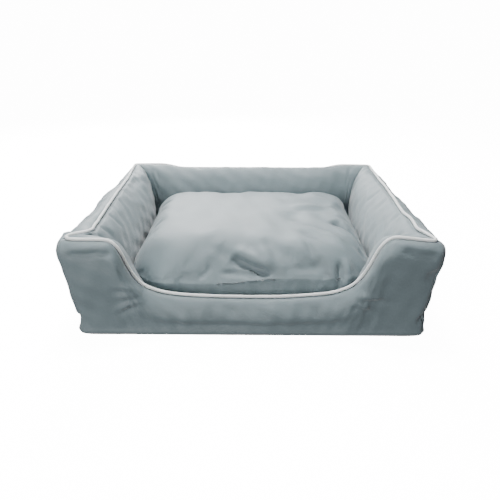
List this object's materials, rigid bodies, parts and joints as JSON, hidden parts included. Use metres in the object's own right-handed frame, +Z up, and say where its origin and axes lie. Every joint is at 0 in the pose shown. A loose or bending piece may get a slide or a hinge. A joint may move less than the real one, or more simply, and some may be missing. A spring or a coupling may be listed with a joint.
{
  "type": "pet cushion bed",
  "caption": "Rectangular pet bed with stuffed walls, a low front entry, a piped rim and a loose plump seat cushion.",
  "frame": {"origin": "middle of the footprint, on the floor", "axes": "+X along the long side, to the right of someone who faces the entry from the front; +Y from the entry to the back wall; +Z up"},
  "size_m": [0.7, 0.56, 0.2168],
  "materials": {
    "cover_fabric": "smooth closely woven grey-blue cloth with a faint sheen",
    "lining_fabric": "plain woven lining, matt",
    "base_fabric": "non-slip base cloth with small raised dots, matt",
    "stuffing": "loose polyester fibre",
    "piping_fabric": "off-white bias cloth over a cord, matt",
    "zip_tape": "woven zip tape, matt",
    "zip_nylon": "nylon coil, satin",
    "zip_metal": "cast zinc, satin"
  },
  "bodies": {
    "bed": {"front_outer_panel": "cover_fabric", "front_inner_panel": "cover_fabric", "front_fill": "stuffing", "right_outer_panel": "cover_fabric", "right_inner_panel": "cover_fabric", "right_fill": "stuffing", "back_outer_panel": "cover_fabric", "back_inner_panel": "cover_fabric", "back_fill": "stuffing", "left_outer_panel": "cover_fabric", "left_inner_panel": "cover_fabric", "left_fill": "stuffing", "rim_piping": "piping_fabric", "base_panel": "base_fabric", "base_pad": "stuffing", "deck_panel": "lining_fabric", "ring_zip_tape": "zip_tape", "ring_zip_chain": "zip_nylon"},
    "cushion": {"cushion_top_panel": "cover_fabric", "cushion_bottom_panel": "cover_fabric", "cushion_fill": "stuffing", "cushion_zip_tape": "zip_tape", "cushion_zip_chain": "zip_nylon"},
    "ring_zip_runner": {"ring_zip_slider": "zip_metal"},
    "ring_zip_tab": {"ring_zip_pull": "zip_metal"},
    "cushion_zip_runner": {"cushion_zip_slider": "zip_metal"},
    "cushion_zip_tab": {"cushion_zip_pull": "zip_metal"}
  },
  "joints": [
    {"name": "cushion_lift", "type": "slide", "parent": "bed", "child": "cushion", "axis": [0, 0, 1], "range_m": [0, 0.3]},
    {"name": "cushion_zip_slide", "type": "slide", "parent": "cushion", "child": "cushion_zip_runner", "axis": [-1, 0, 0], "range_m": [0, 0.345]},
    {"name": "cushion_pull_hinge", "type": "hinge", "parent": "cushion_zip_runner", "child": "cushion_zip_tab", "pos_m": [0.1725, 0.19259, 0.03821], "axis": [0, -0.0967, -0.9953], "range_deg": [0, 50]},
    {"name": "ring_zip_slide", "type": "slide", "parent": "bed", "child": "ring_zip_runner", "axis": [-1, 0, 0], "range_m": [0, 0.345]},
    {"name": "ring_pull_hinge", "type": "hinge", "parent": "ring_zip_runner", "child": "ring_zip_tab", "pos_m": [0.1725, 0.26987, 0.01072], "axis": [0, -0.3772, -0.9261], "range_deg": [0, 165]}
  ]
}
